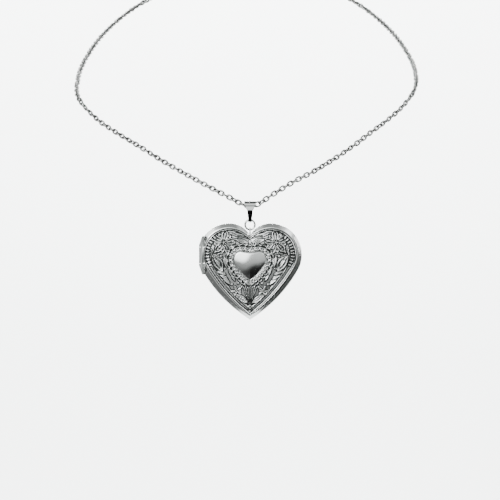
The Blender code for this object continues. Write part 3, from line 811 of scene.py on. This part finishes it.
def bail(material):
    """Strip folded into a wide loop over the chain and a narrow one below."""
    top_r = BAIL_TOP_INNER_R + BAIL_STRIP / 2
    low_r = BAIL_LOW_INNER_R + BAIL_STRIP / 2
    line = []
    for k in range(13):
        a = math.radians(90 + 92 * k / 12)
        half = BAIL_TOP_HALF - 0.20 * max(0, k - 10) / 2
        line.append((top_r * math.cos(a), CHAIN_AT_BAIL_Z + top_r * math.sin(a), half))
    line += BAIL_SHOULDER
    for k in range(9):
        a = math.radians(188 + 82 * k / 8)
        line.append((low_r * math.cos(a), RING_TOP_Z + low_r * math.sin(a), BAIL_LOW_HALF))
    line += [(-y, z, half) for y, z, half in line[-2:0:-1]]
    count = len(line)
    rows = []
    for i, (y, z, half) in enumerate(line):
        before, after = line[i - 1], line[(i + 1) % count]
        along = Vector((0, after[0] - before[0], after[1] - before[1])).normalized()
        out = np.array((0, -along.z, along.y)) * BAIL_STRIP / 2
        middle, side = np.array((0, y, z)), np.array((half, 0, 0))
        soft = side * (1 - BAIL_EASE / half)
        thin = out * (1 - BAIL_EASE / (BAIL_STRIP / 2))
        rows.append([
            middle + side + thin, middle + soft + out, middle - soft + out, middle - side + thin,
            middle - side - thin, middle - soft - out, middle + soft - out, middle + side - thin,
        ])
    rows = np.array(rows) * MM + np.array(LOCKET)
    piece = loft_piece("bail_strip", rows, material, closed=True, sharp=28)
    return finish_piece(piece, "bail", "bail")


# The chain's route from its place inside the bail, up each side of the collar and
# round the neck.  The solid tube follows the same points.
ROUTE_LEFT = [
    (-2.1, 0.15, 0.42), (-5.65, 0.9, 2.3), (-10.8, 2.5, 5.0), (-17.2, 5.3, 8.5),
    (-25.35, 9.7, 13.2), (-31.6, 13.7, 17.2), (-38.8, 18.8, 21.6), (-44.6, 23.3, 25.7),
    (-50.3, 30.0, 32.0), (-51.4, 44.0, 39.5), (-49.6, 61.0, 47.5), (-45.0, 80.0, 56.5),
    (-36.5, 99.5, 66.0), (-25.0, 116.0, 74.0), (-15.8, 127.0, 79.6), (-9.3, 131.3, 81.7),
]
ROUTE_RIGHT = [
    (2.1, 0.15, 0.42), (6.36, 1.2, 3.17), (12.33, 3.45, 6.85), (18.8, 6.7, 10.3),
    (29.0, 13.3, 16.95), (34.9, 17.7, 21.5), (40.3, 22.1, 25.6), (44.6, 25.8, 29.5),
    (48.4, 32.0, 34.6), (49.6, 45.0, 41.0), (48.0, 62.0, 48.5), (43.6, 81.0, 57.2),
    (35.2, 100.5, 66.6), (23.6, 117.0, 74.5), (14.0, 127.2, 79.5), (7.3, 131.3, 81.4),
]
LINK_PITCH, LINK_LENGTH, LINK_WIDTH, LINK_WIRE = 1.42, 2.36, 1.70, 0.52
LINK_SIDES, LINK_BEND_STEPS = 6, 6
LINK_LEAN, LINK_WOBBLE = math.radians(14), 0.30      # set turn of every link, and its chance part
PATH_SPACING = 0.0006


def smooth_route(points, spacing):
    """Points at about a given spacing on a smooth curve through the route."""
    ends = [points[0] * 2 - points[1]] + points + [points[-1] * 2 - points[-2]]
    result = []
    for i in range(1, len(ends) - 2):
        before, start, end, after = ends[i - 1:i + 3]
        steps = max(1, round((end - start).length / spacing))
        weights = [(q - p).length ** 0.5 for p, q in ((before, start), (start, end), (end, after))]
        leave = (start - before) / weights[0] - (end - before) / (weights[0] + weights[1])
        leave = (leave + (end - start) / weights[1]) * weights[1]
        arrive = (end - start) / weights[1] - (after - start) / (weights[1] + weights[2])
        arrive = (arrive + (after - end) / weights[2]) * weights[1]
        for k in range(steps):
            t = k / steps
            result.append(
                start * (2 * t ** 3 - 3 * t ** 2 + 1)
                + leave * (t ** 3 - 2 * t ** 2 + t)
                + end * (3 * t ** 2 - 2 * t ** 3)
                + arrive * (t ** 3 - t ** 2)
            )
    return result + [points[-1]]


def chain_path():
    """Dense points along the whole chain, left end ring to right end ring, in metres."""
    bail_point = JOINT_AT["bail_swing"]
    route = ROUTE_LEFT[::-1] + [(0.0, 0.0, 0.0)] + ROUTE_RIGHT
    return smooth_route([bail_point + Vector(p) * MM for p in route], PATH_SPACING)


def link_mesh():
    """One oval link of round wire, long way along X and lying flat in XY."""
    straight = (LINK_LENGTH - LINK_WIDTH) / 2 * MM
    bend = (LINK_WIDTH - LINK_WIRE) / 2 * MM
    line = []
    for centre, first in ((straight, -90), (-straight, 90)):
        for k in range(LINK_BEND_STEPS + 1):
            a = math.radians(first + 180 * k / LINK_BEND_STEPS)
            line.append((centre + bend * math.cos(a), bend * math.sin(a), 0))
    rows = []
    count = len(line)
    for i, point in enumerate(line):
        ahead = np.array(line[(i + 1) % count]) - np.array(line[i - 1])
        out = np.array((ahead[1], -ahead[0], 0)) / np.linalg.norm(ahead)
        turns = (np.arange(LINK_SIDES) + 0.5) * 2 * math.pi / LINK_SIDES
        section = np.outer(np.cos(turns), out) + np.outer(np.sin(turns), (0, 0, 1))
        rows.append(np.array(point) + section * LINK_WIRE / 2 * MM)
    rows = np.array(rows)
    mesh = bpy.data.meshes.new("chain_link")
    mesh.from_pydata(rows.reshape(-1, 3).tolist(), [], grid_faces(count, LINK_SIDES, True))
    bm = bmesh.new()
    bm.from_mesh(mesh)
    bmesh.ops.recalc_face_normals(bm, faces=bm.faces)
    bm.to_mesh(mesh)
    bm.free()
    mesh.shade_smooth()
    return mesh


def chain_tree(link, material):
    """Geometry nodes that set links along a curve, every other one turned a quarter."""
    tree = bpy.data.node_groups.new("chain_links", "GeometryNodeTree")
    face = tree.interface
    face.new_socket("Route", in_out="INPUT", socket_type="NodeSocketGeometry")
    face.new_socket("Pitch", in_out="INPUT", socket_type="NodeSocketFloat")
    face.new_socket("Quarter Turn", in_out="INPUT", socket_type="NodeSocketFloat")
    face.new_socket("Lean", in_out="INPUT", socket_type="NodeSocketFloat")
    face.new_socket("Chain", in_out="OUTPUT", socket_type="NodeSocketGeometry")

    def node(kind, settings=None, **sockets):
        made = tree.nodes.new(kind)
        for name, value in (settings or {}).items():
            setattr(made, name, value)
        for name, value in sockets.items():
            key = int(name[1:]) if name[1:].isdigit() else name.replace("_", " ")
            socket = made.inputs[key]
            if isinstance(value, bpy.types.NodeSocket):
                tree.links.new(value, socket)
            else:
                socket.default_value = value
        return made

    given = node("NodeGroupInput").outputs
    points = node(
        "GeometryNodeCurveToPoints", {"mode": "LENGTH"}, Curve=given["Route"], Length=given["Pitch"]
    )
    index = node("GeometryNodeInputIndex").outputs[0]
    odd = node("ShaderNodeMath", {"operation": "MODULO"}, _0=index, _1=2.0).outputs[0]
    quarter = given["Quarter Turn"]
    turn = node("ShaderNodeMath", {"operation": "MULTIPLY"}, _0=odd, _1=quarter).outputs[0]
    wobble = node(
        "FunctionNodeRandomValue", {"data_type": "FLOAT"}, _2=-LINK_WOBBLE, _3=LINK_WOBBLE, ID=index, Seed=7
    ).outputs[1]
    lean = node("ShaderNodeMath", {"operation": "ADD"}, _0=given["Lean"], _1=wobble).outputs[0]
    whole = node("ShaderNodeMath", {"operation": "ADD"}, _0=turn, _1=lean).outputs[0]
    euler = node("ShaderNodeCombineXYZ", X=whole).outputs[0]
    aim = node(
        "FunctionNodeAlignRotationToVector", {"axis": "X"}, Vector=points.outputs["Tangent"]
    ).outputs[0]
    spin = node("FunctionNodeEulerToRotation", Euler=euler).outputs[0]
    both = node(
        "FunctionNodeRotateRotation", {"rotation_space": "LOCAL"}, Rotation=aim, Rotate_By=spin
    ).outputs[0]
    info = node("GeometryNodeObjectInfo", {"transform_space": "ORIGINAL"}, Object=link)
    shape = info.outputs["Geometry"]
    copies = node(
        "GeometryNodeInstanceOnPoints", Points=points.outputs["Points"], Instance=shape, Rotation=both
    ).outputs[0]
    real = node("GeometryNodeRealizeInstances", Geometry=copies).outputs[0]
    dressed = node("GeometryNodeSetMaterial", Geometry=real, Material=material).outputs[0]
    node("NodeGroupOutput", Chain=dressed)
    return tree


def neck_chain(material):
    """Oval-link chain along the route."""
    path = chain_path()
    curve = bpy.data.curves.new("chain_route", "CURVE")
    curve.dimensions = "3D"
    spline = curve.splines.new("POLY")
    spline.points.add(len(path) - 1)
    for point, at in zip(spline.points, path):
        point.co = (*at, 1.0)
    route = bpy.data.objects.new("chain_route", curve)
    link = bpy.data.objects.new("chain_link", link_mesh())
    for helper in (route, link):
        bpy.context.scene.collection.objects.link(helper)
    modifier = route.modifiers.new("links", "NODES")
    modifier.node_group = chain_tree(link, material)
    sizes = {"Pitch": LINK_PITCH * MM, "Quarter Turn": math.pi / 2, "Lean": LINK_LEAN}
    for item in modifier.node_group.interface.items_tree:
        if item.in_out == "INPUT" and item.name in sizes:
            modifier[item.identifier] = sizes[item.name]
    bpy.context.view_layer.update()
    evaluated = route.evaluated_get(bpy.context.evaluated_depsgraph_get())
    mesh = bpy.data.meshes.new_from_object(evaluated)
    mesh.shade_smooth()
    for helper in (route, link):
        bpy.data.objects.remove(helper)
    piece = bpy.data.objects.new("neck_chain_links", mesh)
    bpy.context.scene.collection.objects.link(piece)
    finish_piece(piece, "chain", "neck_chain")
    length = sum((b - a).length for a, b in zip(path, path[1:]))
    return piece, path, length


# --- stage and light --------------------------------------------------------------------
STAGE_DROP, STAGE_FRONT, STAGE_BACK = 0.90, -0.30, 1.60
STAGE_BEND, STAGE_RISE, STAGE_HALF_WIDTH = 0.80, 2.4, 2.20
BEND_STEPS = 16


def add_stage():
    """Pale floor that curves up into a backdrop well behind the necklace."""
    finish = Finish("pale_backdrop", Specular_IOR_Level=0.2)
    cloud = finish.noise(6, 3.0)
    finish.set("Base Color", finish.blend(cloud * 0.4, (0.80, 0.82, 0.815), (0.76, 0.78, 0.775)))
    finish.set("Roughness", cloud * 0.1 + 0.75)
    floor_z = LOCKET.z - STAGE_DROP
    profile = [(STAGE_FRONT, floor_z), (STAGE_BACK - STAGE_BEND, floor_z)]
    for k in range(1, BEND_STEPS + 1):
        a = math.pi / 2 * k / BEND_STEPS
        y = STAGE_BACK - STAGE_BEND + STAGE_BEND * math.sin(a)
        profile.append((y, floor_z + STAGE_BEND - STAGE_BEND * math.cos(a)))
    profile.append((STAGE_BACK, floor_z + STAGE_RISE))
    verts = [(x, y, z) for y, z in profile for x in (-STAGE_HALF_WIDTH, STAGE_HALF_WIDTH)]
    faces = [(2 * i, 2 * i + 1, 2 * i + 3, 2 * i + 2) for i in range(len(profile) - 1)]
    mesh = bpy.data.meshes.new("backdrop")
    mesh.from_pydata(verts, [], faces)
    mesh.shade_smooth()
    mesh.materials.append(finish.material)
    backdrop = bpy.data.objects.new("backdrop", mesh)
    bpy.context.scene.collection.objects.link(backdrop)


def add_panel_light(name, place, aim, size, power):
    """Soft rectangular light; place and aim are metres from the locket."""
    data = bpy.data.lights.new(name, "AREA")
    data.shape = "RECTANGLE"
    data.size, data.size_y = size
    data.energy = power
    light = bpy.data.objects.new(name, data)
    light.location = LOCKET + Vector(place)
    light.rotation_euler = (Vector(aim) - Vector(place)).to_track_quat("-Z", "Y").to_euler()
    bpy.context.scene.collection.objects.link(light)


PALE_SURROUND = 1.80             # what shows past the backdrop's edges
ROOM_LOW, ROOM_GAIN = 0.16, 0.72 # light from below, and how much more comes from above
ROOM_TINT = (0.93, 0.965, 0.955, 1)
ROOM_PATCHES = (
    # direction, cosine at the patch's edge and at its core, light lost (share) or gained
    ((0, -0.30, 0.95), 0.90, 0.975, -0.60),
    ((1.0, -0.40, 0.02), 0.78, 0.93, -0.60),
    ((0.75, -0.31, 0.58), 0.90, 0.97, -0.40),
    ((0.31, -0.70, -0.64), 0.75, 0.93, -0.93),
    ((-0.14, -0.62, -0.77), 0.84, 0.96, -0.78),
    ((0.0, -0.24, -0.97), 0.97, 0.995, 0.30),
    ((1.0, 0.30, 0.0), 0.78, 0.93, -0.88),
    ((-1.0, 0.30, 0.0), 0.78, 0.93, -0.88),
    ((0.0, 0.45, 0.90), 0.78, 0.93, -0.88),
    ((-0.45, -0.78, 0.45), 0.84, 0.97, 2.9),
    ((0.0, -0.75, 0.66), 0.965, 0.99, 1.1),
    ((-0.64, -0.35, 0.68), 0.955, 0.985, 1.8),
    ((0.60, -0.35, 0.72), 0.975, 0.992, 2.6),
)


def add_room():
    """Room light, brighter above, with dark flags beside and below and bright panels high up."""
    world = bpy.data.worlds.new("studio")
    world.use_nodes = True
    tree = world.node_tree
    direction = tree.nodes.new("ShaderNodeTexCoord").outputs["Generated"]

    def toward(vector, low, high):
        node = tree.nodes.new("ShaderNodeVectorMath")
        node.operation = "DOT_PRODUCT"
        node.inputs[1].default_value = Vector(vector).normalized()
        tree.links.new(direction, node.inputs[0])
        return Value(tree, node.outputs["Value"]).step(low, high)

    room = toward((0, 0, 1), -0.60, 0.55) * ROOM_GAIN + ROOM_LOW
    for vector, edge, core, change in ROOM_PATCHES:
        patch = toward(vector, edge, core)
        room = room * (1.0 - patch * -change) if change < 0 else room + patch * change
    straight = Value(tree, tree.nodes.new("ShaderNodeLightPath").outputs["Is Camera Ray"])
    room = room + straight * (PALE_SURROUND - room)
    shader = tree.nodes["Background"]
    shader.inputs["Color"].default_value = ROOM_TINT
    tree.links.new(room.socket, shader.inputs["Strength"])
    bpy.context.scene.world = world


def add_light():
    """Room, a soft key from the upper left, a strip on the right and a wash over the backdrop."""
    add_room()
    add_panel_light("key_upper_left", (-0.60, -0.75, 0.65), (0, 0, 0), (0.45, 0.45), 6)
    add_panel_light("side_right", (0.90, -0.10, 0.30), (0, 0, 0), (0.20, 0.60), 2.5)
    add_panel_light("backdrop_wash", (0, 0.75, 0.95), (0, 1.7, 0.0), (1.6, 0.6), 190)


# --- assembly -----------------------------------------------------------------------------
add_camera()
steel = polished_finish("chain_steel", (0.29, 0.29, 0.285), (0.20, 0.205, 0.20), 0.18, 0.25)
silver = polished_finish("polished_silver", (0.70, 0.71, 0.70), (0.56, 0.58, 0.57), 0.08, 0.40)
chain, chain_line, chain_length = neck_chain(steel)

front_cover(embossed_finish())
back_cover(silver)
clear, card = window_finish(), card_finish()
photo_set("front", "cover", 1, silver, clear, card)
photo_set("back", "locket", -1, silver, clear, card)
# Painted shade: a darker copy of the polished silver for the bail and jump ring, the same metal set darker
# so the thin parts don't wash out against the bright backdrop.
shaded_silver = polished_finish("shaded_silver", (0.46, 0.465, 0.46), (0.36, 0.37, 0.365), 0.10, 0.20)
bail(shaded_silver)

ring = cut_ring(
    "jump_ring_wire", JOINT_AT["locket_sway"], (1, 0, 0), (0, 0, 1),
    JUMP_RING_R, JUMP_RING_WIRE_R, JUMP_RING_CUT_AT, shaded_silver,
)
finish_piece(ring, "ring", "jump_ring")

for node, body in (
    ("front_hinge_knuckle", "cover"), ("back_hinge_knuckle_upper", "locket"),
    ("back_hinge_knuckle_lower", "locket"), ("hinge_pin", "locket"), ("catch_tongue", "locket"),
    ("clasp_rivet", "chain"), ("clasp_spring", "chain"),
):
    refined(node, silver, body, 0.05)
refined("hanging_eyelet", silver, "locket", 0.03)
clasp_pieces = [
    refined("clasp_body", silver, "chain", 0.06),
    refined("clasp_lever", silver, "lever", 0.05),
    bpy.data.objects["clasp_rivet_eased"],
    bpy.data.objects["clasp_spring_eased"],
]
for end in ("left", "right"):
    low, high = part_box("chain_end_ring_" + end)
    end_ring = cut_ring(
        f"end_ring_{end}_wire", (low + high) / 2, (1, 0, 0), (0, 1, 0),
        END_RING_R, END_RING_WIRE_R, END_RING_CUT_AT, silver,
    )
    clasp_pieces.append(finish_piece(end_ring, "chain", "chain_end_ring_" + end))

chain_line[::4] + [chain_line[-1]]
add_stage()
add_light()
